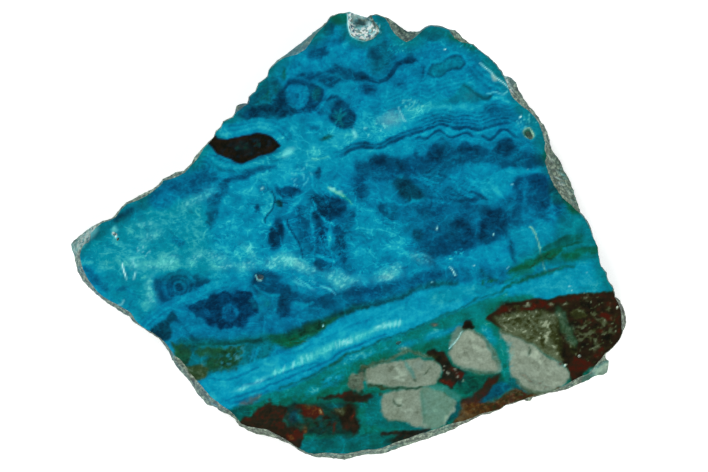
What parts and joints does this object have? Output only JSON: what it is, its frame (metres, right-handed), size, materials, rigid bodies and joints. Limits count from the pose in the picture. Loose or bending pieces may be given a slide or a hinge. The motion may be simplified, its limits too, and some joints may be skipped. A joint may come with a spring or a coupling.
{
  "type": "chrysocolla",
  "caption": "Polished chrysocolla mineral slab: flat mirror-polished face, rough broken natural rim all round, flat sawn back it lies on.",
  "frame": {"origin": "on the sawn back, under the middle of the slab's length and width", "axes": "+X along the slab's length, from its pointed tip towards the brown ironstone corner; +Z out of the polished face; +Y across, towards the chipped top edge"},
  "size_m": [0.0894, 0.072, 0.008],
  "materials": {
    "chrysocolla_stone": "polished face in banded blue and teal chrysocolla with green malachite streaks, grey quartz and dark red-brown ironstone; matt weathered grey rim and matt sawn back"
  },
  "bodies": {
    "root": {"chrysocolla_slab": "chrysocolla_stone"}
  },
  "joints": []
}
